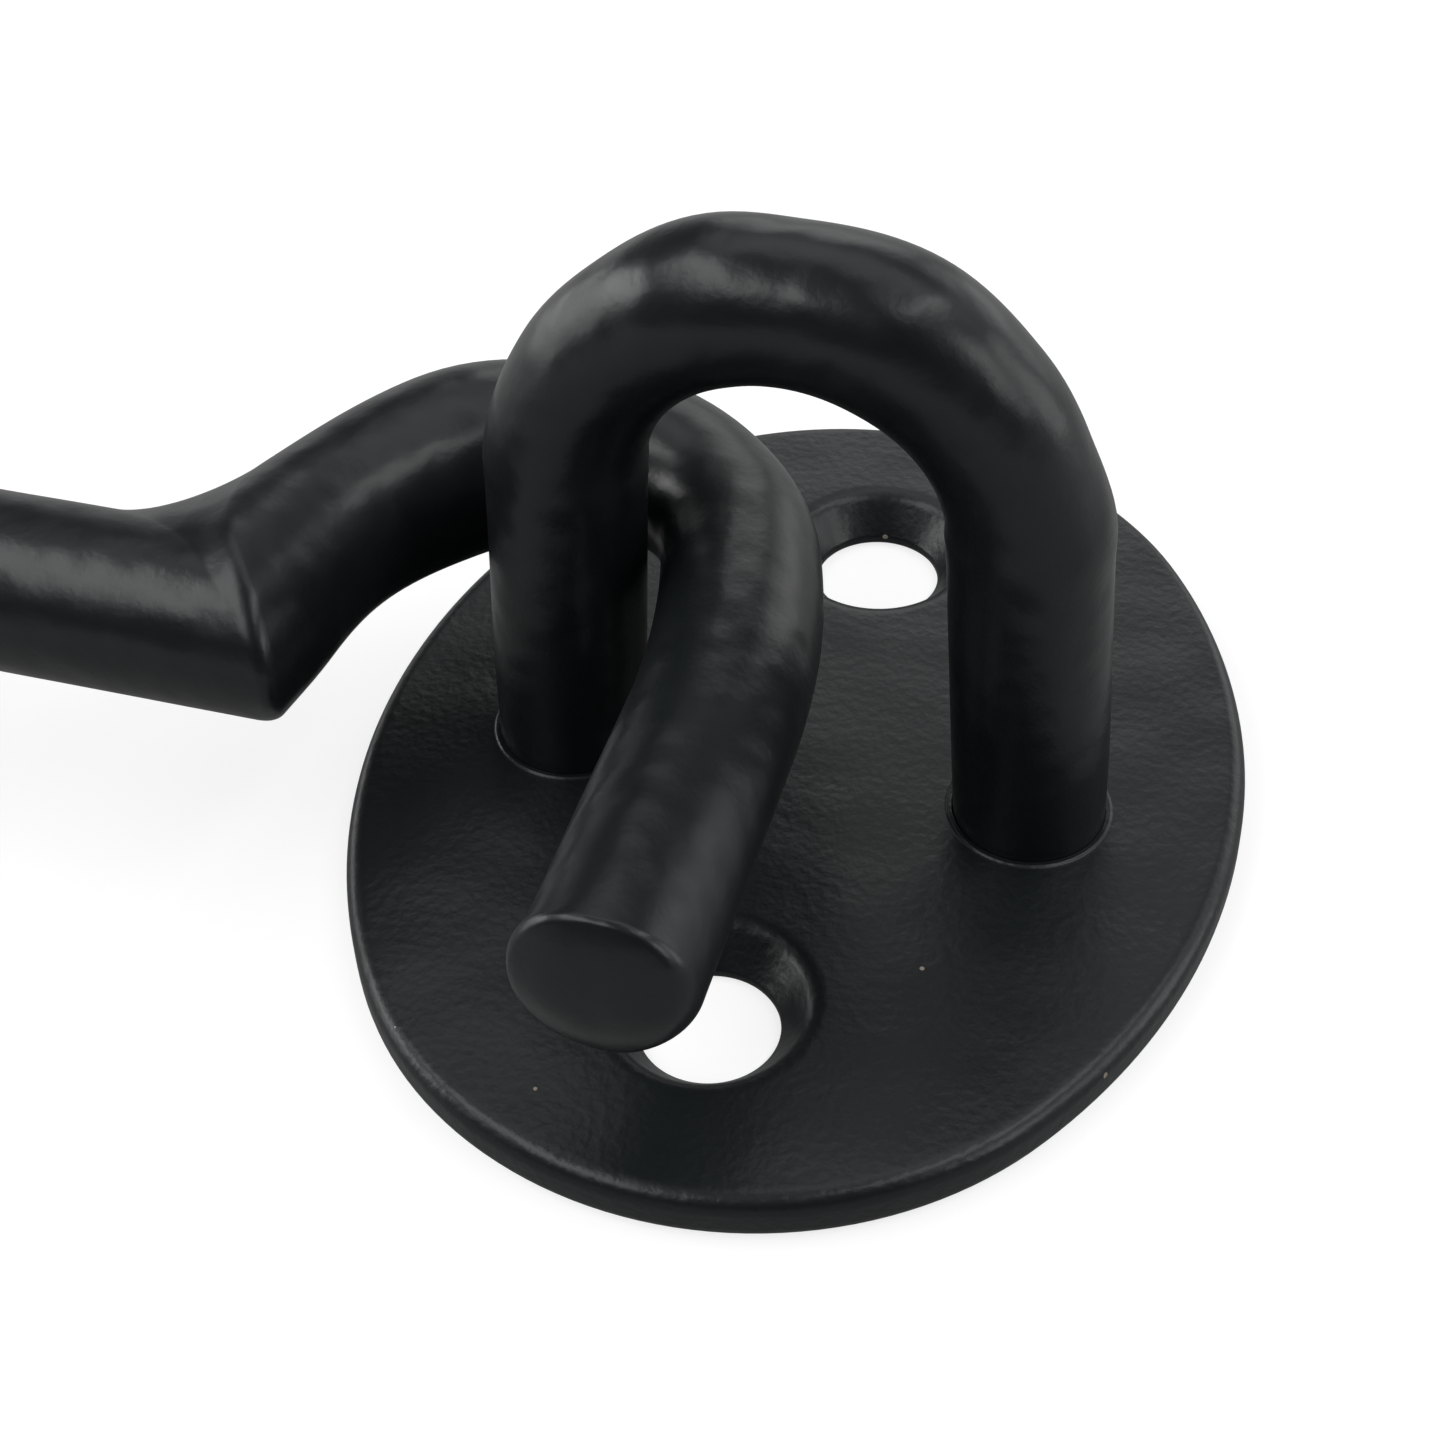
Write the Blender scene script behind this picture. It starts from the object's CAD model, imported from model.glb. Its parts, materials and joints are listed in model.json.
"""Dresses a black powder-coated cabin hook, its two staples and their oval screw plates.

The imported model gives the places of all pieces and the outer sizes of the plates. Sizes in the
classes are in millimetres, angles in degrees.
"""

import json
import logging
import math
from dataclasses import dataclass
from enum import Enum
from typing import Iterable, NamedTuple, Sequence

import bmesh
import bpy
import numpy as np
from bpy.types import ID, Material, Node, NodeSocket, NodeTree, Object
from mathutils import Euler, Matrix, Vector
from mathutils.geometry import delaunay_2d_cdt


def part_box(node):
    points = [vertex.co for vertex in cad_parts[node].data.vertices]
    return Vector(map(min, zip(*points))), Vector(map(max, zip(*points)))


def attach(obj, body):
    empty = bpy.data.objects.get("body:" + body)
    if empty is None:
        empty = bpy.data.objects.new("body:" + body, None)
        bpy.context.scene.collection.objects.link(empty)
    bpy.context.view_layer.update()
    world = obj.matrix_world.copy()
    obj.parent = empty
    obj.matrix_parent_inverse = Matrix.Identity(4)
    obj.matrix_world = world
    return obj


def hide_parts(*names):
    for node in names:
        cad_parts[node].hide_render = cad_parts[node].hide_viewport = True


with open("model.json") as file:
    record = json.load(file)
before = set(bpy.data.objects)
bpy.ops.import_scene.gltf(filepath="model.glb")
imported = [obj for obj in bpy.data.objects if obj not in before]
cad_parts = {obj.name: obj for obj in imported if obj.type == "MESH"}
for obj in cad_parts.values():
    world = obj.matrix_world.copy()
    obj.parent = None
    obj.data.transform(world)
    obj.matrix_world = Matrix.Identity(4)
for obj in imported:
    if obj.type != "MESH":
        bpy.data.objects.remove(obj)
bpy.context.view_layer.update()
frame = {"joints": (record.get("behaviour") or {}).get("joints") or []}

MM = 0.001
FIXED = "fixed"
SWINGING = "swinging_hook"
LOG = logging.getLogger("latch")
# Points round each rod and hole
ROUND = 96
# Points that lie closer than this are one point
MERGE_MM = 0.0005
# Height, width of the waves and seed of the unevenness under the coat, on the plates and on the hook
PRESSED = {"Height": 0.03 * MM, "Wave": 8 * MM, "Seed": 1.0}
FORGED = {"Height": 0.06 * MM, "Wave": 7 * MM, "Seed": 2.0}
# Taken off the noise, so that the surface moves mostly inwards and stays inside its solid
COAT_BIAS = 0.8
# Heights over the wall between which the unevenness sets in, so that the plate's back stays flat
COAT_FADE_MM = (0.2, 1.0)


def linear(hex_colour: str) -> tuple[float, float, float, float]:
    """Turns an sRGB hex colour into linear light.

    Args:
        hex_colour: Six hex digits, with or without a leading hash.

    Returns:
        Red, green, blue and an alpha of 1.
    """
    digits = hex_colour.lstrip("#")
    parts = [int(digits[i:i + 2], 16) / 255 for i in (0, 2, 4)]
    return tuple([p / 12.92 if p <= 0.04045 else ((p + 0.055) / 1.055) ** 2.4 for p in parts] + [1.0])


def add_node(tree: NodeTree, kind: str, settings: dict | None = None, inputs: dict | None = None) -> Node:
    """Adds a node with its settings, values and links.

    Args:
        tree: The tree that gets the node.
        kind: The node's type name.
        settings: Properties of the node, by name.
        inputs: Sockets, by name or index, each with a value or with the output socket that feeds it.

    Returns:
        The new node.
    """
    node = tree.nodes.new(kind)
    for name, value in (settings or {}).items():
        setattr(node, name, value)
    for name, value in (inputs or {}).items():
        if isinstance(value, NodeSocket):
            tree.links.new(value, node.inputs[name])
        else:
            node.inputs[name].default_value = value
    return node


def add_object(name: str, data: ID) -> Object:
    """Makes an object for a mesh, a lamp or a camera and links it into the scene.

    Args:
        name: The object's name.
        data: What the object shows.

    Returns:
        The object.
    """
    item = bpy.data.objects.new(name, data)
    bpy.context.scene.collection.objects.link(item)
    return item


def way_to(azimuth: float, elevation: float) -> Vector:
    """The direction from the latch to a place, where azimuth 0 is in front and -90 is left."""
    a, e = math.radians(azimuth), math.radians(elevation)
    return Vector((math.sin(a) * math.cos(e), -math.cos(a) * math.cos(e), math.sin(e)))


def looking_back(way: Vector, roll: float) -> Euler:
    """The rotation of a camera or lamp that looks back along way, rolled about its own axis."""
    facing = (-way).to_track_quat("-Z", "Y").to_matrix()
    return (facing @ Matrix.Rotation(math.radians(roll), 3, "Z")).to_euler()


@dataclass(frozen=True)
class PowderCoat:
    """Black polyester powder, sprayed and baked on steel: satin, with a fine orange peel.

    The thick film rounds every edge, and its peel and grain break up each highlight. Real grain is
    finer, and is drawn this coarse so that it shows.
    """

    name: str
    colour: str = "#101416"
    faded_colour: str = "#16191b"
    roughness: float = 0.32
    roughness_spread: float = 0.04
    ior: float = 1.42
    peel_mm: float = 1.4
    peel_height_mm: float = 0.08
    grain_mm: float = 0.35
    grain_height_mm: float = 0.011
    patch_mm: float = 9.0
    speck_mm: float = 1.6
    speck_share: float = 0.0
    speck_size: float = 0.09
    speck_colour: str = "#8b8378"

    def build(self) -> Material:
        """Builds the material on object coordinates.

        Returns:
            The new material.
        """
        material = bpy.data.materials.new(self.name)
        material.use_nodes = True
        tree = material.node_tree
        tree.nodes.clear()
        place = add_node(tree, "ShaderNodeTexCoord").outputs["Object"]
        patches = self._noise(tree, place, self.patch_mm, detail=3.0)
        colour = add_node(tree, "ShaderNodeMix", {"data_type": "RGBA"}, {0: patches})
        colour.inputs[6].default_value = linear(self.colour)
        colour.inputs[7].default_value = linear(self.faded_colour)
        shade = colour.outputs[2]
        if self.speck_share > 0:
            shade = self._specks(tree, place, shade)
        rough = add_node(tree, "ShaderNodeMapRange", None, {
            "Value": patches,
            "To Min": self.roughness - self.roughness_spread,
            "To Max": self.roughness + self.roughness_spread,
        })
        peel = self._noise(tree, place, self.peel_mm, detail=0.0)
        peel_bump = add_node(tree, "ShaderNodeBump", None, {
            "Strength": 1.0, "Distance": self.peel_height_mm * MM, "Height": peel})
        grain = self._noise(tree, place, self.grain_mm, detail=2.0)
        grain_bump = add_node(tree, "ShaderNodeBump", None, {
            "Strength": 1.0, "Distance": self.grain_height_mm * MM, "Height": grain,
            "Normal": peel_bump.outputs["Normal"]})
        coat = add_node(tree, "ShaderNodeBsdfPrincipled", None, {
            "Base Color": shade, "Roughness": rough.outputs["Result"], "IOR": self.ior,
            "Normal": grain_bump.outputs["Normal"]})
        add_node(tree, "ShaderNodeOutputMaterial", None, {"Surface": coat.outputs["BSDF"]})
        return material

    @staticmethod
    def _noise(tree: NodeTree, place: NodeSocket, size_mm: float, detail: float) -> NodeSocket:
        """Adds noise whose features are about size_mm wide, and returns its factor."""
        return add_node(tree, "ShaderNodeTexNoise", None, {
            "Vector": place, "Scale": 1 / (size_mm * MM), "Detail": detail}).outputs["Fac"]

    def _specks(self, tree: NodeTree, place: NodeSocket, shade: NodeSocket) -> NodeSocket:
        """Adds sparse pale dust specks.

        Args:
            tree: The material's tree.
            place: Object coordinates.
            shade: The coat's colour.

        Returns:
            The colour with the specks on it.
        """
        cells = add_node(tree, "ShaderNodeTexVoronoi", None, {
            "Vector": place, "Scale": 1 / (self.speck_mm * MM)})
        chosen = add_node(tree, "ShaderNodeSeparateColor", None, {"Color": cells.outputs["Color"]})
        rare = add_node(tree, "ShaderNodeMath", {"operation": "LESS_THAN"}, {
            0: chosen.outputs["Red"], 1: self.speck_share})
        size = add_node(tree, "ShaderNodeMath", {"operation": "MULTIPLY"}, {
            0: chosen.outputs["Green"], 1: self.speck_size})
        near = add_node(tree, "ShaderNodeMath", {"operation": "LESS_THAN"}, {
            0: cells.outputs["Distance"], 1: size.outputs["Value"]})
        both = add_node(tree, "ShaderNodeMath", {"operation": "MULTIPLY"}, {
            0: rare.outputs["Value"], 1: near.outputs["Value"]})
        mixed = add_node(tree, "ShaderNodeMix", {"data_type": "RGBA"}, {0: both.outputs["Value"], 6: shade})
        mixed.inputs[7].default_value = linear(self.speck_colour)
        return mixed.outputs[2]


class Finish(Enum):
    """The finishes that the latch is made in."""

    ROD = PowderCoat("satin_black_powder_coat_on_rod")
    PLATE = PowderCoat(
        "satin_black_powder_coat_on_plate", colour="#0f1315", faded_colour="#161a1c", roughness=0.36,
        peel_mm=3.2, peel_height_mm=0.11, grain_mm=0.45, grain_height_mm=0.032, speck_share=0.16)


class Station(NamedTuple):
    """A point of a middle line in its plane, with the heading there in degrees."""

    x: float
    y: float
    heading: float

    def ahead(self, length: float) -> "Station":
        """The station that lies straight ahead by length."""
        turn = math.radians(self.heading)
        return Station(self.x + length * math.cos(turn), self.y + length * math.sin(turn), self.heading)

    def turned(self, radius: float, sweep: float) -> "Station":
        """Follows a bend to the right.

        Args:
            radius: The bend's radius.
            sweep: The angle that the bend turns through.

        Returns:
            The station at its end.
        """
        a = math.radians(self.heading)
        b = math.radians(self.heading - sweep)
        return Station(self.x + radius * (math.sin(a) - math.sin(b)),
                       self.y - radius * (math.cos(a) - math.cos(b)), self.heading - sweep)


class Stretch(NamedTuple):
    """One stretch of a middle line: straight where radius is 0, else a bend to the right."""

    start: Station
    radius: float
    length: float


@dataclass
class MiddleLine:
    """A plane middle line made of straight stretches and arcs that run into each other."""

    stretches: list[Stretch]

    @classmethod
    def from_moves(cls, start: Station, moves: Sequence[tuple[float, float]]) -> "MiddleLine":
        """Lays out a line from moves.

        Args:
            start: Where the line begins.
            moves: Pairs of a bend radius and a sweep in degrees, or of 0 and a straight length.

        Returns:
            The middle line.
        """
        stretches = []
        for radius, amount in moves:
            length = math.radians(amount) * radius if radius else amount
            stretches.append(Stretch(start, radius, length))
            start = start.turned(radius, amount) if radius else start.ahead(amount)
        return cls(stretches)

    @property
    def length(self) -> float:
        """The whole length."""
        return sum(s.length for s in self.stretches)

    @property
    def joints(self) -> list[float]:
        """The distances at which one stretch runs into the next."""
        return list(np.cumsum([s.length for s in self.stretches])[:-1])

    def at(self, distances: np.ndarray) -> tuple[np.ndarray, np.ndarray]:
        """Places and headings along the line, whose first and last stretch go on past its ends.

        Args:
            distances: Distances from the start, of any shape.

        Returns:
            The places, with a last axis of 2, and the headings in radians.
        """
        place = np.zeros(distances.shape + (2,))
        heading = np.zeros(distances.shape)
        begin = 0.0
        for index, stretch in enumerate(self.stretches):
            inside = np.ones(distances.shape, bool) if index == 0 else distances >= begin
            d = distances - begin
            h0 = math.radians(stretch.start.heading)
            if stretch.radius:
                h = h0 - d / stretch.radius
                x = stretch.start.x + stretch.radius * (math.sin(h0) - np.sin(h))
                y = stretch.start.y - stretch.radius * (math.cos(h0) - np.cos(h))
            else:
                h = np.full(d.shape, h0)
                x = stretch.start.x + d * math.cos(h0)
                y = stretch.start.y + d * math.sin(h0)
            place[inside] = np.stack([x, y], -1)[inside]
            heading[inside] = h[inside]
            begin += stretch.length
        return place, heading


def eased(share: np.ndarray) -> np.ndarray:
    """A smooth step from 0 to 1."""
    share = np.clip(share, 0, 1)
    return share * share * (3 - 2 * share)


def smooth_run(at: np.ndarray, stations: Sequence[tuple[float, float]]) -> np.ndarray:
    """A value that runs smoothly from station to station.

    Args:
        at: Where the value is wanted.
        stations: Pairs of a place and the value there.

    Returns:
        The values, level before the first station and after the last.
    """
    value = np.full(at.shape, stations[0][1])
    for (a0, v0), (a1, v1) in zip(stations, stations[1:]):
        value = value + (v1 - v0) * eased((at - a0) / (a1 - a0))
    return value


def tube(rings: np.ndarray, caps: bool) -> tuple[np.ndarray, list]:
    """Skins a row of rings.

    Args:
        rings: Points, with the axes ring, point on the ring and coordinate.
        caps: Whether a face closes the first ring and another the last.

    Returns:
        The points and the faces.
    """
    count, sides = rings.shape[:2]
    faces = []
    for k in range(count - 1):
        for i in range(sides):
            j = (i + 1) % sides
            faces.append((k * sides + i, k * sides + j, (k + 1) * sides + j, (k + 1) * sides + i))
    if caps:
        faces.append(tuple(range(sides - 1, -1, -1)))
        faces.append(tuple(range((count - 1) * sides, count * sides)))
    return rings.reshape(-1, 3), faces


def new_piece(name: str, points_mm: np.ndarray, faces: Iterable[Sequence[int]],
              finish: Material) -> Object:
    """Makes a smooth-shaded mesh object whose faces point outwards.

    Args:
        name: The piece's name.
        points_mm: Points in millimetres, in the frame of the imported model.
        faces: Corner indices of each face.
        finish: The material.

    Returns:
        The object, linked into the scene.
    """
    mesh = bpy.data.meshes.new(name)
    mesh.from_pydata([tuple(p) for p in np.asarray(points_mm) * MM], [], [tuple(f) for f in faces])
    form = bmesh.new()
    form.from_mesh(mesh)
    bmesh.ops.remove_doubles(form, verts=form.verts, dist=MERGE_MM * MM)
    bmesh.ops.recalc_face_normals(form, faces=form.faces)
    form.to_mesh(mesh)
    form.free()
    mesh.polygons.foreach_set("use_smooth", [True] * len(mesh.polygons))
    mesh.materials.append(finish)
    return add_object(name, mesh)


def baked(piece: Object) -> Object:
    """Turns a piece's evaluated shape into its plain mesh and removes its modifiers.

    Args:
        piece: An object with modifiers.

    Returns:
        The same object.
    """
    depsgraph = bpy.context.evaluated_depsgraph_get()
    plain = bpy.data.meshes.new_from_object(piece.evaluated_get(depsgraph), depsgraph=depsgraph)
    piece.modifiers.clear()
    piece.data = plain
    plain.name = piece.name
    return piece


@dataclass
class NodeTool:
    """A Geometry Nodes tree with named inputs."""

    tree: NodeTree
    sockets: dict[str, str]

    @classmethod
    def named(cls, name: str, inputs: dict[str, str]) -> "NodeTool":
        """Starts a tree with a geometry input, the named inputs and a geometry output.

        Args:
            name: The tree's name.
            inputs: Socket types by input name.

        Returns:
            The tool, which knows each input's identifier.
        """
        tree = bpy.data.node_groups.new(name, "GeometryNodeTree")
        face = tree.interface
        face.new_socket(name="Geometry", in_out="OUTPUT", socket_type="NodeSocketGeometry")
        face.new_socket(name="Geometry", in_out="INPUT", socket_type="NodeSocketGeometry")
        sockets = {}
        for label, kind in inputs.items():
            sockets[label] = face.new_socket(name=label, in_out="INPUT", socket_type=kind).identifier
        return cls(tree, sockets)

    def apply(self, piece: Object, values: dict[str, object]) -> Object:
        """Runs the tree on a piece.

        Args:
            piece: The object to change.
            values: Values by input name.

        Returns:
            The piece, with the result as its plain mesh.
        """
        modifier = piece.modifiers.new(self.tree.name, "NODES")
        modifier.node_group = self.tree
        for label, value in values.items():
            modifier[self.sockets[label]] = value
        return baked(piece)


def make_rod_tool() -> NodeTool:
    """Builds the tree that sweeps a round rod along a path, with its thickness read from the path.

    Returns:
        The tool.
    """
    tool = NodeTool.named("round_rod_on_path", {"Sides": "NodeSocketInt", "Material": "NodeSocketMaterial"})
    tree = tool.tree
    given = add_node(tree, "NodeGroupInput")
    path = add_node(tree, "GeometryNodeMeshToCurve", None, {"Mesh": given.outputs["Geometry"]})
    thick = add_node(tree, "GeometryNodeInputNamedAttribute", {"data_type": "FLOAT"}, {
        "Name": "rod_radius"})
    section = add_node(tree, "GeometryNodeCurvePrimitiveCircle", None, {
        "Resolution": given.outputs["Sides"], "Radius": 1.0})
    swept = add_node(tree, "GeometryNodeCurveToMesh", None, {
        "Curve": path.outputs["Curve"], "Profile Curve": section.outputs["Curve"],
        "Scale": thick.outputs["Attribute"], "Fill Caps": True})
    place = add_node(tree, "GeometryNodeInputPosition")
    axes = add_node(tree, "ShaderNodeSeparateXYZ", None, {0: place.outputs["Position"]})
    floor = add_node(tree, "ShaderNodeMath", {"operation": "MAXIMUM"}, {0: axes.outputs["Z"], 1: 0.0})
    flush = add_node(tree, "ShaderNodeCombineXYZ", None, {
        0: axes.outputs["X"], 1: axes.outputs["Y"], 2: floor.outputs["Value"]})
    trimmed = add_node(tree, "GeometryNodeSetPosition", None, {
        "Geometry": swept.outputs["Mesh"], "Position": flush.outputs["Vector"]})
    finish_tree(tree, given, trimmed.outputs["Geometry"])
    return tool


def make_coat_tool() -> NodeTool:
    """Builds the tree that gives a surface the slight unevenness of hand forging under its coat.

    Returns:
        The tool.
    """
    tool = NodeTool.named("uneven_coat", {
        "Height": "NodeSocketFloat", "Wave": "NodeSocketFloat", "Seed": "NodeSocketFloat",
        "Material": "NodeSocketMaterial"})
    tree = tool.tree
    given = add_node(tree, "NodeGroupInput")
    rate = add_node(tree, "ShaderNodeMath", {"operation": "DIVIDE"}, {0: 1.0, 1: given.outputs["Wave"]})
    place = add_node(tree, "GeometryNodeInputPosition")
    waves = add_node(tree, "ShaderNodeTexNoise", {"noise_dimensions": "4D"}, {
        "Vector": place.outputs["Position"], "W": given.outputs["Seed"],
        "Scale": rate.outputs["Value"], "Detail": 1.0})
    centred = add_node(tree, "ShaderNodeMath", {"operation": "SUBTRACT"}, {
        0: waves.outputs["Fac"], 1: COAT_BIAS})
    height = add_node(tree, "ShaderNodeSeparateXYZ", None, {0: place.outputs["Position"]})
    off_wall = add_node(tree, "ShaderNodeMapRange", None, {
        "Value": height.outputs["Z"], "From Min": COAT_FADE_MM[0] * MM, "From Max": COAT_FADE_MM[1] * MM})
    share = add_node(tree, "ShaderNodeMath", {"operation": "MULTIPLY"}, {
        0: off_wall.outputs["Result"], 1: given.outputs["Height"]})
    lift = add_node(tree, "ShaderNodeMath", {"operation": "MULTIPLY"}, {
        0: centred.outputs["Value"], 1: share.outputs["Value"]})
    normal = add_node(tree, "GeometryNodeInputNormal")
    offset = add_node(tree, "ShaderNodeVectorMath", {"operation": "SCALE"}, {
        0: normal.outputs["Normal"], "Scale": lift.outputs["Value"]})
    moved = add_node(tree, "GeometryNodeSetPosition", None, {
        "Geometry": given.outputs["Geometry"], "Offset": offset.outputs["Vector"]})
    finish_tree(tree, given, moved.outputs["Geometry"])
    return tool


def finish_tree(tree: NodeTree, given: Node, geometry: NodeSocket) -> None:
    """Ends a tree: smooth shading, real geometry and the material.

    Args:
        tree: The tree.
        given: Its input node.
        geometry: The socket with the shape.
    """
    smooth = add_node(tree, "GeometryNodeSetShadeSmooth", None, {
        "Geometry": geometry, "Shade Smooth": True})
    real = add_node(tree, "GeometryNodeRealizeInstances", None, {"Geometry": smooth.outputs["Geometry"]})
    dressed = add_node(tree, "GeometryNodeSetMaterial", None, {
        "Geometry": real.outputs["Geometry"], "Material": given.outputs["Material"]})
    add_node(tree, "NodeGroupOutput", None, {"Geometry": dressed.outputs["Geometry"]})


@dataclass
class ScrewPlate:
    """An oval pressed plate with two countersunk screw holes and two holes for the staple's legs."""

    node: str
    finish: Material
    end_r: float = 16.9
    front_r: float = 0.8
    back_r: float = 0.7
    screw_spacing: float = 28.4
    screw_hole_r: float = 2.85
    screw_back_r: float = 0.3
    countersink_r: float = 4.2
    countersink_depth: float = 1.7
    countersink_edge_r: float = 1.1
    countersink_foot_r: float = 0.3
    leg_spacing: float = 20.3
    leg_lean: float = 3.1
    leg_hole_r: float = 3.24
    lip_height: float = 0.08
    lip_width: float = 0.32
    lip_turn: float = 0.62
    tail_spread: float = 1.0
    tail_depth: float = 1.2
    tail_edge: float = 0.05
    staple_drop: float = 0.7
    guard: float = 0.12

    def __post_init__(self) -> None:
        """Takes the plate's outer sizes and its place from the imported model."""
        low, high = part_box(self.node)
        self.centre = (low + high) / 2 / MM
        self.width, self.height, self.thickness = (high - low) / MM
        half = self.width / 2
        self.end_y = self.height / 2 - self.end_r
        self.side_r = (self.end_r ** 2 - half ** 2 - self.end_y ** 2) / (2 * (self.end_r - half))
        self.side_x = self.side_r - half
        self.join = math.atan2(self.end_y, self.side_x)

    def oval(self, inset: float, z: float, steps: int = 24) -> np.ndarray:
        """Points of the outline, moved inwards by inset and laid at height z.

        Args:
            inset: Distance from the outline.
            z: Height.
            steps: Points on each half of an arc.

        Returns:
            The points, counter-clockwise.
        """
        quarter = math.pi / 2
        arcs = (
            ((-self.side_x, 0.0), self.side_r, -self.join, self.join),
            ((0.0, self.end_y), self.end_r, self.join, 2 * quarter - self.join),
            ((self.side_x, 0.0), self.side_r, 2 * quarter - self.join, 2 * quarter + self.join),
            ((0.0, -self.end_y), self.end_r, 2 * quarter + self.join, 4 * quarter - self.join),
        )
        points = []
        for (cx, cy), radius, a0, a1 in arcs:
            for angle in np.linspace(a0, a1, 2 * steps, endpoint=False):
                points.append((cx + (radius - inset) * math.cos(angle),
                               cy + (radius - inset) * math.sin(angle), z))
        return np.array(points)

    @staticmethod
    def circle(cx: float, cy: float, radius: float, z: float) -> np.ndarray:
        """Points of a circle at height z, counter-clockwise."""
        angles = np.linspace(0, 2 * math.pi, ROUND, endpoint=False)
        return np.stack([cx + radius * np.cos(angles), cy + radius * np.sin(angles), np.full(ROUND, z)], -1)

    @staticmethod
    def rounding(steps: int) -> list[tuple[float, float]]:
        """Pairs of a sine and a cosine over a quarter turn."""
        return [(math.sin(a), math.cos(a)) for a in np.linspace(0, math.pi / 2, steps)]

    def rim(self) -> np.ndarray:
        """Lays out the outer edge.

        Returns:
            Its rings, from the flat back round to the flat front.
        """
        rows = [self.oval(self.back_r + self.guard, 0.0)]
        for s, c in self.rounding(6):
            rows.append(self.oval(self.back_r * (1 - s), self.back_r * (1 - c)))
        for s, c in self.rounding(14):
            rows.append(self.oval(self.front_r * (1 - c), self.thickness - self.front_r * (1 - s)))
        rows.append(self.oval(self.front_r + self.guard, self.thickness))
        return np.stack(rows)

    def screw_hole(self, y: float) -> np.ndarray:
        """Lays out a countersunk hole.

        Args:
            y: The hole's place on the plate.

        Returns:
            Its rings, from the flat front down to the flat back.
        """
        top = self.thickness
        slope = math.atan2(self.countersink_r - self.screw_hole_r, self.countersink_depth)
        edge = self.countersink_edge_r
        turn = math.pi / 2 - slope
        reach = edge * math.tan(turn / 2)
        rows = [(self.countersink_r + reach + self.guard, top)]
        for a in np.linspace(0, turn, 8):
            rows.append((self.countersink_r + reach - edge * math.sin(a), top - edge * (1 - math.cos(a))))
        land = top - self.countersink_depth
        foot = self.countersink_foot_r
        for share in np.linspace(0, 1, 7):
            a = share * slope
            rows.append((self.screw_hole_r + foot * (1 - math.cos(slope - a)),
                         land + foot * (math.sin(slope - a) - math.tan(slope / 2))))
        for s, c in self.rounding(5):
            rows.append((self.screw_hole_r + self.screw_back_r * (1 - c), self.screw_back_r * (1 - s)))
        rows.append((self.screw_hole_r + self.screw_back_r + self.guard, 0.0))
        return np.stack([self.circle(0.0, y, r, z) for r, z in rows])

    def leg_hole(self, side: int) -> np.ndarray:
        """Lays out a leaning leg hole, with a lip of thick coat in front and room for the tail behind.

        Args:
            side: 1 for the leg towards +X, -1 for the other.

        Returns:
            Its rings, from the flat front to the flat back.
        """
        top = self.thickness
        rows = [(self.leg_hole_r + self.lip_width + self.guard, top)]
        for share in np.linspace(0, 1, 12):
            rise = 0.5 - 0.5 * math.cos(2 * math.pi * min(share, self.lip_turn))
            rows.append((self.leg_hole_r + self.lip_width * (1 - share), top + self.lip_height * rise))
        rows.append((self.leg_hole_r, self.tail_depth))
        rows.append((self.leg_hole_r + self.tail_spread - self.tail_edge, self.tail_edge))
        rows.append((self.leg_hole_r + self.tail_spread, 0.0))
        rows.append((self.leg_hole_r + self.tail_spread + self.guard, 0.0))
        rings = []
        for r, z in rows:
            x = side * (self.leg_spacing / 2 - (z - top) * math.tan(math.radians(self.leg_lean)))
            rings.append(self.circle(x, -self.staple_drop, r, z))
        return np.stack(rings)

    def build(self) -> Object:
        """Builds the plate's mesh: its edges as rings, its two flat faces as triangles between them.

        Returns:
            The piece.
        """
        rim = self.rim()
        holes = [self.screw_hole(side * self.screw_spacing / 2) for side in (-1, 1)]
        holes += [self.leg_hole(side) for side in (-1, 1)]
        points: list[np.ndarray] = []
        faces: list[tuple[int, ...]] = []
        starts = []
        for rings in [rim] + holes:
            starts.append(sum(len(p) for p in points))
            skin, around = tube(rings, caps=False)
            points.append(skin)
            faces += [tuple(i + starts[-1] for i in f) for f in around]
        every = np.concatenate(points)
        for front in (True, False):
            loops = []
            for rings, start in zip([rim] + holes, starts):
                count, sides = rings.shape[:2]
                use_last = front if rings is rim else not front
                first = start + (count - 1) * sides if use_last else start
                loops.append(list(range(first, first + sides)))
            faces += self.flat_face(every, loops)
        every = every + np.array([self.centre.x, self.centre.y, 0.0])
        return new_piece(self.node + "_coated", every, faces, self.finish)

    @staticmethod
    def flat_face(points: np.ndarray, loops: list[list[int]]) -> list[tuple[int, ...]]:
        """Fills the flat area inside the first loop and outside the others.

        Args:
            points: All points.
            loops: Loops of point indices, the outline first.

        Returns:
            Triangles of point indices.
        """
        index = [i for loop in loops for i in loop]
        flat = [Vector(points[i][:2]) for i in index]
        edges = []
        start = 0
        for loop in loops:
            edges += [(start + k, start + (k + 1) % len(loop)) for k in range(len(loop))]
            start += len(loop)
        _, _, triangles, origins, _, _ = delaunay_2d_cdt(flat, edges, [], 1, 1e-7)
        holes = [(points[loop][:, :2].mean(0), points[loop][:, :2]) for loop in loops[1:]]
        kept = []
        for triangle in triangles:
            corners = [index[origins[k][0]] for k in triangle]
            middle = points[corners][:, :2].mean(0)
            inside = any(np.hypot(*(middle - c)) < np.hypot(*(ring[0] - c)) for c, ring in holes)
            if not inside:
                kept.append(tuple(corners))
        return kept


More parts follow.
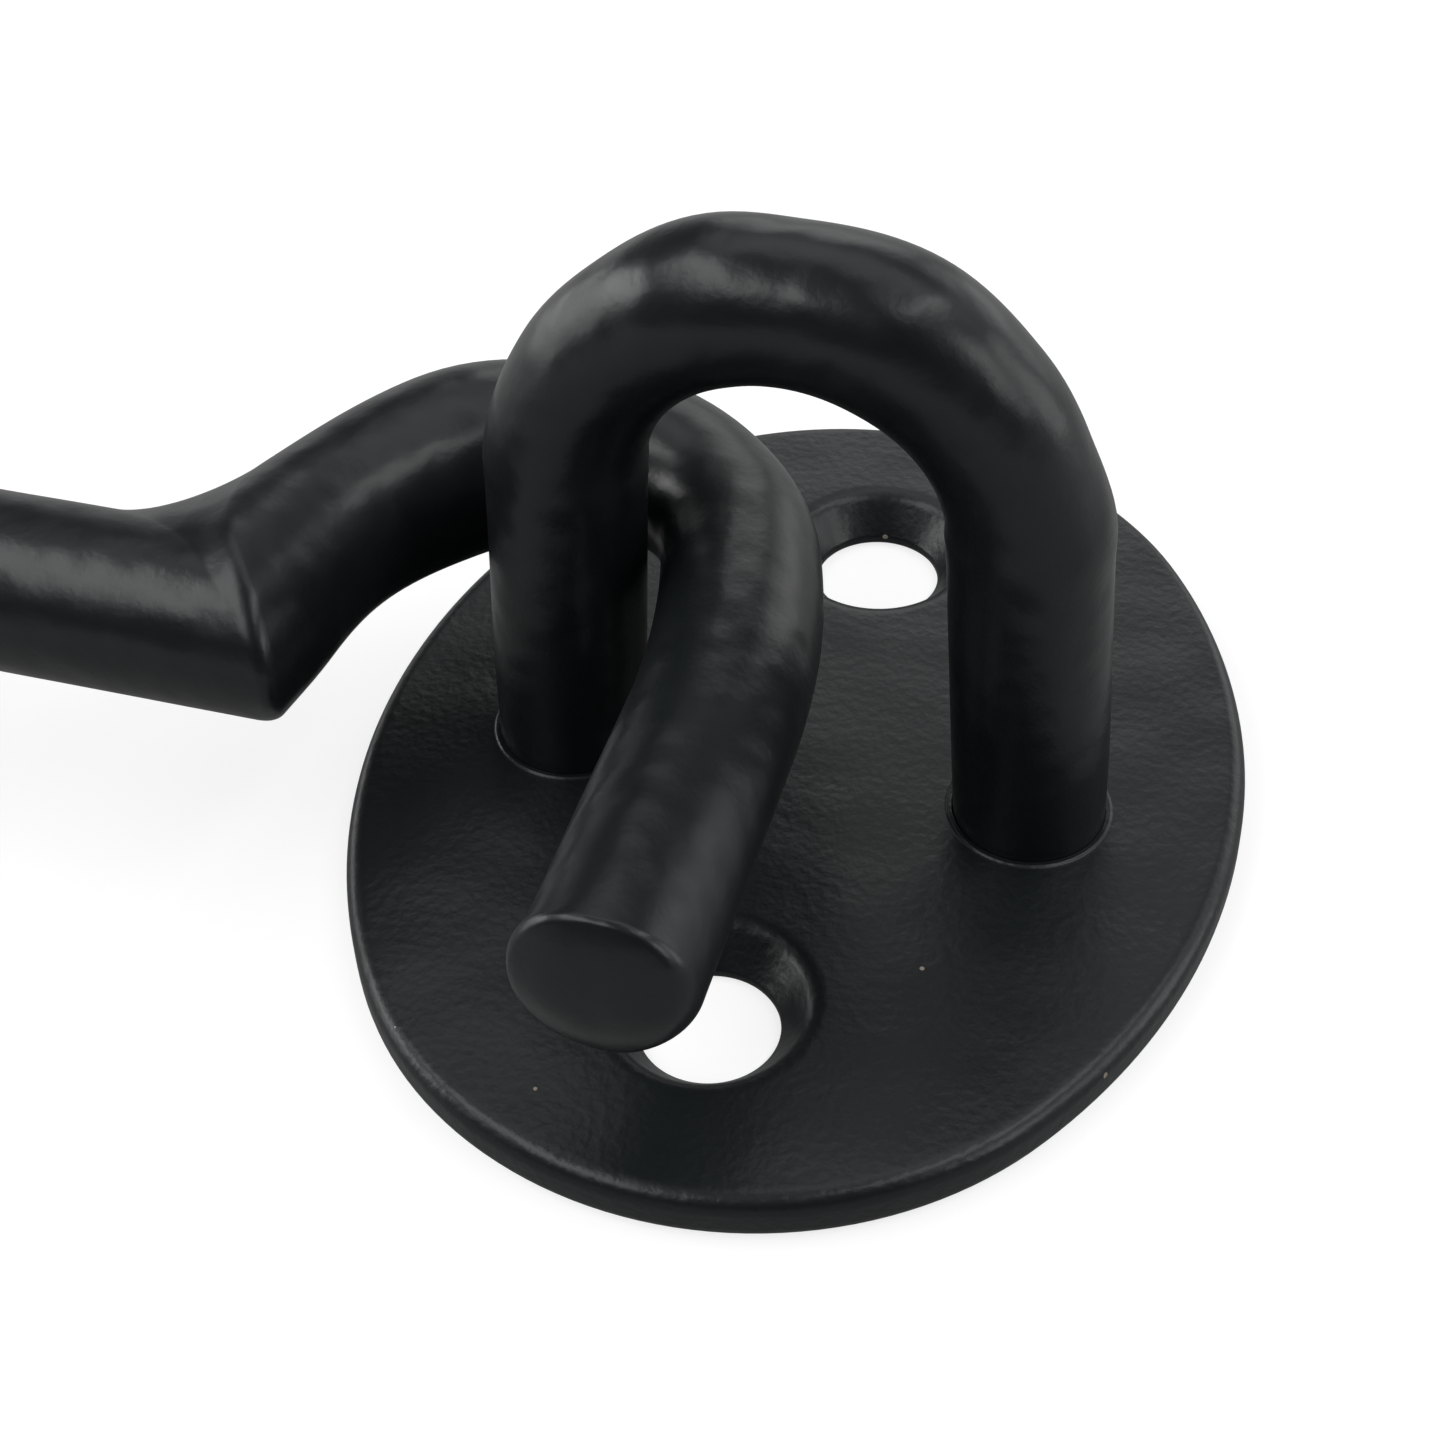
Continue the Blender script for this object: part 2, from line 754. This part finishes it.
@dataclass
class WallStaple:
    """A U of round rod whose legs pass through a plate and are riveted over at its back.

    The bend was pulled by hand: outline gives, at angles round the crown, how far its outer side
    stands out from a true arc.
    """

    node: str
    plate: ScrewPlate
    finish: Material
    rod_r: float = 3.2
    height: float = 27.2
    bend_mark: float = 0.05
    mark_reach: float = 0.9
    outline: tuple[tuple[float, float], ...] = (
        (0.0, 0.14), (22.0, -0.24), (40.0, -0.16), (64.0, 0.12), (90.0, -0.16), (108.0, 0.06),
        (132.0, -0.22), (150.0, -0.14), (180.0, 0.16))
    foot_room: float = 7.0
    step: float = 0.35
    tail_start: float = 0.5
    tail_room: float = 0.4
    overrun: float = 0.2

    def swelling(self, heading: np.ndarray, z: np.ndarray) -> np.ndarray:
        """How far the outer side stands out, by heading in radians; fades to 0 at the wall."""
        return smooth_run(np.degrees(heading) + 90, self.outline) * eased(z / self.foot_room)

    def path(self) -> tuple[np.ndarray, np.ndarray]:
        """The middle line from one riveted tail to the other, and the rod's radius along it.

        Returns:
            Points in millimetres, and radii.
        """
        lean = math.radians(self.plate.leg_lean)
        half = self.plate.leg_spacing / 2
        face = self.plate.thickness
        crown_z = self.height - self.rod_r
        room = half - crown_z * math.tan(lean)
        radius = room / (math.cos(lean) - (1 - math.sin(lean)) * math.tan(lean))
        bend_z = crown_z - radius
        leg = (bend_z + radius * math.sin(lean)) / math.cos(lean)
        tail = face / math.cos(lean)
        start = Station(-half - face * math.tan(lean), 0.0, 90 - self.plate.leg_lean)
        line = MiddleLine.from_moves(start, [
            (0, leg + tail), (radius, 180 - 2 * self.plate.leg_lean), (0, leg + tail)])
        depth = self.plate.tail_depth / math.cos(lean)
        tail_steps = np.linspace(self.tail_start, depth, 3)
        first, last = depth + self.tail_room, line.length - depth - self.tail_room
        along = np.concatenate([
            [-self.overrun], tail_steps, np.linspace(first, last, round(line.length / self.step)),
            line.length - tail_steps[::-1], [line.length + self.overrun]])
        place, heading = line.at(along)
        out = self.swelling(heading, place[:, 1]) / 2
        place = place + out[:, None] * np.stack([-np.sin(heading), np.cos(heading)], -1)
        end = np.minimum(along, line.length - along)
        thick = np.where(end < depth, self.rod_r + self.plate.tail_spread * (1 - end / depth), self.rod_r)
        for joint in line.joints:
            thick = thick + self.bend_mark * np.exp(-((along - joint) / self.mark_reach) ** 2)
        thick = thick + out
        across = np.full(len(along), self.plate.centre.y - self.plate.staple_drop)
        points = np.stack([place[:, 0] + self.plate.centre.x, across, place[:, 1]], -1)
        return points, thick

    def build(self, rod_tool: NodeTool) -> Object:
        """Sweeps the rod along the path.

        Args:
            rod_tool: The tree that sweeps a rod.

        Returns:
            The piece.
        """
        points, thick = self.path()
        mesh = bpy.data.meshes.new(self.node)
        mesh.from_pydata([tuple(p) for p in points * MM], [(k, k + 1) for k in range(len(points) - 1)], [])
        mesh.attributes.new("rod_radius", "FLOAT", "POINT").data.foreach_set("value", thick * MM)
        piece = add_object(self.node + "_coated", mesh)
        return rod_tool.apply(piece, {"Sides": ROUND, "Material": self.finish})


@dataclass
class CabinHook:
    """The forged hook: an eye, an arm, a sharp corner, the crank, the crook and the straight tip.

    Its rod is uneven: crank_girth gives the radius at distances after the corner. The cuts say how far
    the long lines of the rod are cut back at the corner, on its inner side, its flanks and outside.
    """

    node: str
    finish: Material
    pivot: Vector
    reach: float = 100.0
    staple_r: float = 3.2
    arm_r: float = 3.75
    crook_r: float = 3.5
    crank_angle: float = 80.0
    crank_straight: float = 1.9
    crank_bend_r: float = 20.0
    crank_sweep: float = 31.0
    crook_slack: float = 1.7
    crook_sweep: float = 121.5
    tip_bend_r: float = 33.0
    tip_straight: float = 13.6
    eye_slack: float = 1.45
    bearing_gap: float = 0.3
    neck_swell: float = 0.5
    neck_reach: float = 7.0
    neck_depth: float = 2.6
    neck_opening: float = 0.15
    crank_girth: tuple[tuple[float, float], ...] = (
        (0.0, 4.2), (7.0, 3.85), (14.0, 4.1), (20.0, 3.65), (27.0, 3.3), (36.0, 3.45), (60.0, 3.5))
    inner_cut: float = 6.0
    side_cut: float = 1.3
    outer_cut: float = 0.75
    arm_share: float = 0.8
    corner_room: float = 12.0
    corner_probe: tuple[float, float] = (-6.0, 14.0)
    corner_handle: float = 0.6
    tip_edge_r: float = 1.7
    tip_edge_tilt: float = 0.78
    tip_dome: float = 0.95
    tip_dome_edge: float = 0.6
    tip_extra: float = -0.4
    tip_shear: float = 1.5
    top_lip: float = 0.14
    burr: float = 0.5
    burr_reach: float = 1.1
    step: float = 0.5
    eye_steps: int = 160

    def __post_init__(self) -> None:
        """Works out the middle line from the sizes, about the pivot leg and in the hook's plane."""
        self.eye_bend_r = self.staple_r + self.eye_slack + self.crook_r
        self.crook_bend_r = self.staple_r + self.crook_slack + self.crook_r
        self.eye_x = self.eye_slack - self.bearing_gap
        self.arm_begin = self.eye_x + self.eye_bend_r
        self.turn = np.linspace(0, 2 * math.pi, ROUND, endpoint=False)
        crook = Station(0, 0, self.crank_angle).ahead(self.crank_straight).turned(
            self.crank_bend_r, self.crank_sweep)
        middle_x = crook.x + self.crook_bend_r * math.sin(math.radians(crook.heading))
        self.corner_x = self.reach - middle_x
        tip_sweep = 90 + crook.heading - self.crook_sweep
        self.line = MiddleLine.from_moves(Station(self.corner_x, 0, self.crank_angle), [
            (0, self.crank_straight), (self.crank_bend_r, self.crank_sweep),
            (self.crook_bend_r, self.crook_sweep), (self.tip_bend_r, tip_sweep), (0, self.tip_straight)])

    def arm_thickness(self, x: np.ndarray | float) -> np.ndarray | float:
        """The arm's radius, which swells at the neck of the eye."""
        neck = (x - self.arm_begin) / self.neck_reach
        return self.arm_r + self.neck_swell * np.exp(-neck ** 2)

    def crank_thickness(self, t: np.ndarray) -> np.ndarray:
        """The radius at distances after the corner."""
        return smooth_run(t, self.crank_girth)

    def crank_ring(self, t: np.ndarray, turn: np.ndarray, trim: np.ndarray | float = 0.0) -> np.ndarray:
        """Points on the rod after the corner.

        Args:
            t: Distance after the corner of each point.
            turn: The point's angle round the rod, 0 on the left of the heading.
            trim: Distance by which the rod is thinner.

        Returns:
            The points.
        """
        place, heading = self.line.at(t)
        thick = self.crank_thickness(t) - trim
        left = thick * np.cos(turn)
        return np.stack([place[..., 0] - left * np.sin(heading), place[..., 1] + left * np.cos(heading),
                         thick * np.sin(turn)], -1)

    def corner_cuts(self, side: np.ndarray) -> np.ndarray:
        """How far each long line is cut back at the sharp corner: most on its inner side, least outside."""
        inner = self.side_cut + (self.inner_cut - self.side_cut) * np.clip(side, 0, 1) ** 1.5
        return np.where(side > 0, inner, self.side_cut + (self.side_cut - self.outer_cut) * side)

    def arm_ring(self, x: np.ndarray, turn: np.ndarray) -> np.ndarray:
        """Points on the arm.

        Args:
            x: Place along the arm of each point.
            turn: The point's angle round the rod, 0 on the side that the crank turns to.

        Returns:
            The points.
        """
        thick = self.arm_thickness(x)
        return np.stack([x, thick * np.cos(turn), thick * np.sin(turn)], -1)

    def neck_rows(self) -> list[np.ndarray]:
        """Lays out the arm's rounded start inside the rod of the eye.

        Returns:
            Its rings.
        """
        shoulder = self.arm_ring(np.full(ROUND, self.arm_begin), self.turn)
        return [shoulder * [1, math.sin(a), math.sin(a)] - [self.neck_depth * math.cos(a), 0, 0]
                for a in np.linspace(self.neck_opening, math.pi / 2, 12, endpoint=False)]

    def corner_points(self) -> tuple[np.ndarray, np.ndarray]:
        """Finds where each long line of the crank, run back, meets the same line of the arm.

        Returns:
            Distances after the corner, and the points where the lines meet.
        """
        probe = np.linspace(*self.corner_probe, 2001)
        edge = self.arm_thickness(self.corner_x)
        meet = np.empty(ROUND)
        corner = np.empty((ROUND, 3))
        for k, angle in enumerate(self.turn):
            run = self.crank_ring(probe, np.full(probe.shape, angle))
            y, z = edge * math.cos(angle), edge * math.sin(angle)
            meet[k] = np.interp(y, run[:, 1], probe)
            corner[k] = (np.interp(meet[k], probe, run[:, 0]), y, z)
        return meet, corner

    def corner_rows(self) -> list[np.ndarray]:
        """Lays out the arm and the crank's start, with each long line of the rod rounded at the corner.

        Returns:
            The rings, up to corner_room after the corner.
        """
        cut = self.corner_cuts(np.cos(self.turn))
        meet, corner = self.corner_points()
        plain_end = self.corner_x - self.corner_room
        plain_steps = round((plain_end - self.arm_begin) / self.step)
        rows = [self.arm_ring(np.full(ROUND, x), self.turn)
                for x in np.linspace(self.arm_begin, plain_end, plain_steps)]
        leave = corner[:, 0] - cut * self.arm_share
        rows += [self.arm_ring(plain_end + (leave - plain_end) * share, self.turn)
                 for share in np.linspace(0, 1, 25)[1:]]
        arrive = meet + cut
        first, last = rows[-1], self.crank_ring(arrive, self.turn)
        _, heading = self.line.at(arrive)
        onward = np.stack([np.cos(heading), np.sin(heading), np.zeros(ROUND)], -1)
        run_out = self.corner_handle * np.linalg.norm(corner - first, axis=1)[:, None]
        run_in = self.corner_handle * np.linalg.norm(corner - last, axis=1)[:, None]
        out = first + run_out * np.array([1.0, 0.0, 0.0])
        back = last - run_in * onward
        for s in np.linspace(0, 1, 22)[1:-1]:
            rows.append(first * (1 - s) ** 3 + 3 * out * s * (1 - s) ** 2 + 3 * back * s * s * (1 - s)
                        + last * s ** 3)
        rows += [self.crank_ring(arrive * (1 - share) + self.corner_room * share, self.turn)
                 for share in np.linspace(0, 1, 26)]
        return rows

    def tip_ring(self, t: np.ndarray, rim: np.ndarray, trim: np.ndarray | float = 0.0) -> np.ndarray:
        """Lays out one ring near the tip's end, with the burr and the lip that the shears left.

        Args:
            t: Distance after the corner of each point.
            rim: Distance after the corner at which each long line ends.
            trim: Distance by which the rod is thinner.

        Returns:
            The ring.
        """
        share = self.burr * np.clip(-np.cos(self.turn), 0, 1) ** 2
        share = share + self.top_lip * np.clip(np.sin(self.turn), 0, 1) * np.abs(np.sin(2 * self.turn))
        return self.crank_ring(t, self.turn, trim - share * np.exp(-((rim - t) / self.burr_reach) ** 2))

    def tip_rows(self) -> list[np.ndarray]:
        """Lays out the crook and the tip, whose end is sheared aslant, domed, and rounded most below.

        Returns:
            The rings, from corner_room after the corner to the middle of the end.
        """
        face = self.line.length + self.tip_extra
        rim = face + self.tip_shear * (1 - np.sin(self.turn)) / 2
        edge = self.tip_edge_r * (1 - self.tip_edge_tilt * np.sin(self.turn))
        begin, plain_end = self.corner_room, face - 2 * self.tip_edge_r
        rows = [self.tip_ring(np.full(ROUND, t), rim)
                for t in np.linspace(begin, plain_end, round((plain_end - begin) / self.step))[1:]]
        rows += [self.tip_ring(plain_end + (rim - edge - plain_end) * share, rim)
                 for share in np.linspace(0, 1, 6)[1:]]
        slope = np.arctan(2 * self.tip_dome / (self.crook_r - self.tip_dome_edge * edge))
        for share in np.linspace(0, 1, 12)[1:]:
            a = (math.pi / 2 - slope) * share
            rows.append(self.tip_ring(rim - edge * (1 - np.sin(a)), rim, edge * (1 - np.cos(a))))
        outer = rows[-1]
        end, heading = self.line.at(np.array([face]))
        middle = np.append(end[0], 0.0)
        onward = np.array([math.cos(heading[0]), math.sin(heading[0]), 0.0])
        for share in np.linspace(1, 0, 12)[1:-1]:
            rows.append(middle + (outer - middle) * share + onward * self.tip_dome * (1 - share * share))
        return rows

    def rings(self) -> np.ndarray:
        """Rings of the whole rod from the eye to the middle of the tip's end."""
        return np.stack(self.neck_rows() + self.corner_rows() + self.tip_rows())

    def eye(self) -> np.ndarray:
        """Lays out the eye.

        Returns:
            Its rings, of which the last is the first again.
        """
        rows = []
        for angle in np.linspace(0, 2 * math.pi, self.eye_steps, endpoint=False):
            out = self.eye_bend_r + self.crook_r * np.cos(self.turn)
            rows.append(np.stack([self.eye_x + out * math.cos(angle), out * math.sin(angle),
                                  self.crook_r * np.sin(self.turn)], -1))
        return np.stack(rows + rows[:1])

    def build(self) -> Object:
        """Builds the rod and the eye and joins them into one closed skin.

        Returns:
            The piece.
        """
        shift = np.array(self.pivot)
        points, faces = tube(self.rings(), caps=True)
        rod = new_piece(self.node + "_coated", points + shift, faces, self.finish)
        points, faces = tube(self.eye(), caps=False)
        ring = new_piece("eye_ring", points + shift, faces, self.finish)
        union = rod.modifiers.new("eye", "BOOLEAN")
        union.operation = "UNION"
        union.solver = "EXACT"
        union.object = ring
        baked(rod)
        bpy.data.objects.remove(ring)
        return rod


@dataclass
class PhotoCamera:
    """A camera at the photograph's viewing angle, for an image of 1445 by 1445."""

    keeper: Vector
    aim: tuple[float, float, float] = (-1.92, -3.85, 10.0)
    azimuth: float = 17.51
    elevation: float = 42.99
    roll: float = -2.07
    distance: float = 101.56
    nearest: float = 5.0
    focal_px: float = 2515.07
    centre_px: tuple[float, float] = (729.14, 672.53)
    image_px: float = 1445.0
    sensor_mm: float = 36.0

    def build(self) -> Object:
        """Makes the camera and sets it as the scene's.

        Returns:
            The camera.
        """
        data = bpy.data.cameras.new("photo_camera")
        camera = add_object("photo_camera", data)
        target = Vector((self.keeper.x + self.aim[0], self.keeper.y + self.aim[1], self.aim[2]))
        back = way_to(self.azimuth, self.elevation)
        camera.location = (target + back * self.distance) * MM
        camera.rotation_euler = looking_back(back, self.roll)
        data.sensor_width = self.sensor_mm
        data.lens = self.focal_px * self.sensor_mm / self.image_px
        data.shift_x = (self.image_px / 2 - self.centre_px[0]) / self.image_px
        data.shift_y = (self.centre_px[1] - self.image_px / 2) / self.image_px
        data.clip_start = self.nearest * MM
        bpy.context.scene.camera = camera
        return camera


class Softbox(NamedTuple):
    """A soft lamp, placed by direction from the latch.

    Its half width and half height are the angles at which the latch sees them.
    """

    name: str
    azimuth: float
    elevation: float
    tilt: float
    half_width: float
    half_height: float
    radiance: float


@dataclass
class Studio:
    """A pale floor, a white background and soft lamps. Lengths here are in metres."""

    focus: Vector
    floor_colour: str = "#929292"
    floor_half: float = 1.6
    floor_drop: float = 0.00005
    floor_glow: tuple[float, float] = (0.78, 1.0)
    glow_reach: tuple[float, float] = (0.2, 0.6)
    floor_shine: tuple[float, float] = (0.08, 0.34)
    shine_reach: tuple[float, float] = (0.03, 0.16)
    lamp_distance: float = 0.7
    dim_room: float = 0.03
    backdrop: float = 0.65
    backdrop_top: float = 0.35
    backdrop_side: float = 0.42
    softboxes: tuple[Softbox, ...] = (
        Softbox("key_softbox", -52.0, 54.0, 14.0, 28.0, 8.0, 5.2),
        Softbox("right_top_softbox", 92.0, 60.0, 20.0, 25.0, 5.0, 5.4),
        Softbox("right_softbox", 76.0, 28.0, 0.0, 10.0, 10.0, 4.2),
        Softbox("right_low_softbox", 107.0, 16.0, 0.0, 12.0, 15.0, 2.5),
        Softbox("back_right_softbox", 147.0, 20.0, 0.0, 17.0, 15.0, 1.5),
        Softbox("back_softbox", 188.0, 28.0, 0.0, 14.0, 13.0, 1.7),
        Softbox("left_softbox", -86.0, 22.0, 0.0, 18.0, 6.0, 7.0),
        Softbox("left_low_softbox", -96.0, 5.0, 0.0, 28.0, 4.0, 3.6),
        Softbox("back_top_softbox", 190.0, 70.0, 25.0, 25.0, 14.0, 1.3),
    )

    def build(self) -> None:
        """Makes the floor, the world and the lamps."""
        self.make_floor()
        self.make_world()
        for box in self.softboxes:
            self.make_softbox(box)

    def floor_strength(self, tree: NodeTree) -> NodeSocket:
        """Adds nodes for the floor's glow, which grows with distance until it is as white as the world.

        Only the camera and clear bodies see it in full. Reflections see floor_shine, which is less near
        the latch.

        Args:
            tree: The floor material's tree.

        Returns:
            The socket with the strength.
        """
        path = add_node(tree, "ShaderNodeLightPath")
        direct = add_node(tree, "ShaderNodeMath", {"operation": "MAXIMUM"}, {
            0: path.outputs["Is Camera Ray"], 1: path.outputs["Is Transmission Ray"]})
        place = add_node(tree, "ShaderNodeTexCoord")
        away = add_node(tree, "ShaderNodeVectorMath", {"operation": "LENGTH"}, {0: place.outputs["Object"]})
        glow = add_node(tree, "ShaderNodeMapRange", None, {
            "Value": away.outputs["Value"],
            "From Min": self.glow_reach[0], "From Max": self.glow_reach[1],
            "To Min": self.floor_glow[0], "To Max": self.floor_glow[1]})
        full = add_node(tree, "ShaderNodeMath", {"operation": "MULTIPLY"}, {
            0: direct.outputs["Value"], 1: glow.outputs["Result"]})
        shine = add_node(tree, "ShaderNodeMapRange", None, {
            "Value": away.outputs["Value"],
            "From Min": self.shine_reach[0], "From Max": self.shine_reach[1],
            "To Min": self.floor_shine[0], "To Max": self.floor_shine[1]})
        mirrored = add_node(tree, "ShaderNodeMath", {"operation": "MULTIPLY"}, {
            0: path.outputs["Is Glossy Ray"], 1: shine.outputs["Result"]})
        return add_node(tree, "ShaderNodeMath", {"operation": "MAXIMUM"}, {
            0: full.outputs["Value"], 1: mirrored.outputs["Value"]}).outputs["Value"]

    def make_floor(self) -> None:
        """Makes the floor, which looks white to the camera and keeps a soft shadow."""
        h = self.floor_half
        mesh = bpy.data.meshes.new("floor")
        mesh.from_pydata([(-h, -h, 0), (h, -h, 0), (h, h, 0), (-h, h, 0)], [], [(0, 1, 2, 3)])
        floor = add_object("floor", mesh)
        floor.location = (self.focus.x, self.focus.y, -self.floor_drop)
        material = bpy.data.materials.new("matt_white_paper_floor")
        material.use_nodes = True
        tree = material.node_tree
        tree.nodes.clear()
        paper = add_node(tree, "ShaderNodeBsdfDiffuse", None, {"Color": linear(self.floor_colour)})
        glow = add_node(tree, "ShaderNodeEmission", None, {"Strength": self.floor_strength(tree)})
        both = add_node(tree, "ShaderNodeAddShader", None, {
            0: paper.outputs["BSDF"], 1: glow.outputs["Emission"]})
        add_node(tree, "ShaderNodeOutputMaterial", None, {"Surface": both.outputs["Shader"]})
        mesh.materials.append(material)

    def make_world(self) -> None:
        """Makes the world: white to the camera, otherwise a dim room with a pale backdrop behind."""
        world = bpy.data.worlds.new("studio")
        bpy.context.scene.world = world
        world.use_nodes = True
        tree = world.node_tree
        tree.nodes.clear()
        path = add_node(tree, "ShaderNodeLightPath")
        direction = add_node(tree, "ShaderNodeTexCoord")
        axes = add_node(tree, "ShaderNodeSeparateXYZ", None, {0: direction.outputs["Generated"]})
        low = add_node(tree, "ShaderNodeMapRange", None, {
            "Value": axes.outputs["Z"], "From Min": 0.0, "From Max": self.backdrop_top,
            "To Min": self.backdrop, "To Max": 0.0})
        behind = add_node(tree, "ShaderNodeMapRange", None, {
            "Value": axes.outputs["Y"], "From Min": -self.backdrop_side, "From Max": self.backdrop_side})
        sweep = add_node(tree, "ShaderNodeMath", {"operation": "MULTIPLY"}, {
            0: low.outputs["Result"], 1: behind.outputs["Result"]})
        room = add_node(tree, "ShaderNodeMath", {"operation": "ADD"}, {
            0: sweep.outputs["Value"], 1: self.dim_room})
        strength = add_node(tree, "ShaderNodeMix", {"data_type": "FLOAT"}, {
            0: path.outputs["Is Camera Ray"], 2: room.outputs["Value"], 3: 1.0})
        background = add_node(tree, "ShaderNodeBackground", None, {"Strength": strength.outputs[0]})
        background.inputs["Color"].default_value = (1, 1, 1, 1)
        add_node(tree, "ShaderNodeOutputWorld", None, {"Surface": background.outputs["Background"]})

    def make_softbox(self, box: Softbox) -> None:
        """Makes one lamp that faces the latch.

        Args:
            box: The lamp's place, size and radiance.
        """
        data = bpy.data.lights.new(box.name, "AREA")
        data.shape = "RECTANGLE"
        data.size = 2 * self.lamp_distance * math.tan(math.radians(box.half_width))
        data.size_y = 2 * self.lamp_distance * math.tan(math.radians(box.half_height))
        data.energy = box.radiance * math.pi * data.size * data.size_y
        lamp = add_object(box.name, data)
        back = way_to(box.azimuth, box.elevation)
        lamp.location = self.focus + back * self.lamp_distance
        lamp.rotation_euler = looking_back(back, -box.tilt)
        lamp.visible_camera = False


def dress(piece: Object, body: str, node: str) -> None:
    """Puts a finished piece on its body in place of its node.

    Args:
        piece: The piece.
        body: The body it rides on.
        node: The node it stands for, which is also its material slot.
    """
    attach(piece, body)
    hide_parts(node)
    LOG.info("%s stands for %s on %s: %d faces", piece.name, node, body, len(piece.data.polygons))


def main() -> None:
    """Builds the latch and its studio."""
    logging.basicConfig(level=logging.INFO, format="%(name)s: %(message)s")
    bpy.context.scene.view_settings.view_transform = "Standard"
    rod_coat = Finish.ROD.value.build()
    plate_coat = Finish.PLATE.value.build()
    rod_tool = make_rod_tool()
    coat_tool = make_coat_tool()
    plates = {}
    for name in ("pivot", "keeper"):
        plate = ScrewPlate(name + "_plate", plate_coat)
        plates[name] = plate
        dress(coat_tool.apply(plate.build(), {**PRESSED, "Material": plate_coat}), FIXED, plate.node)
        staple = WallStaple(name + "_staple", plate, rod_coat)
        dress(staple.build(rod_tool), FIXED, staple.node)
    hook = CabinHook("hook", rod_coat, Vector(frame["joints"][0]["pos_m"]) / MM)
    dress(coat_tool.apply(hook.build(), {**FORGED, "Material": rod_coat}), SWINGING, hook.node)
    keeper = plates["keeper"].centre
    PhotoCamera(keeper).build()
    Studio(Vector((keeper.x, keeper.y, 0.0)) * MM).build()


if __name__ == "__main__":
    main()
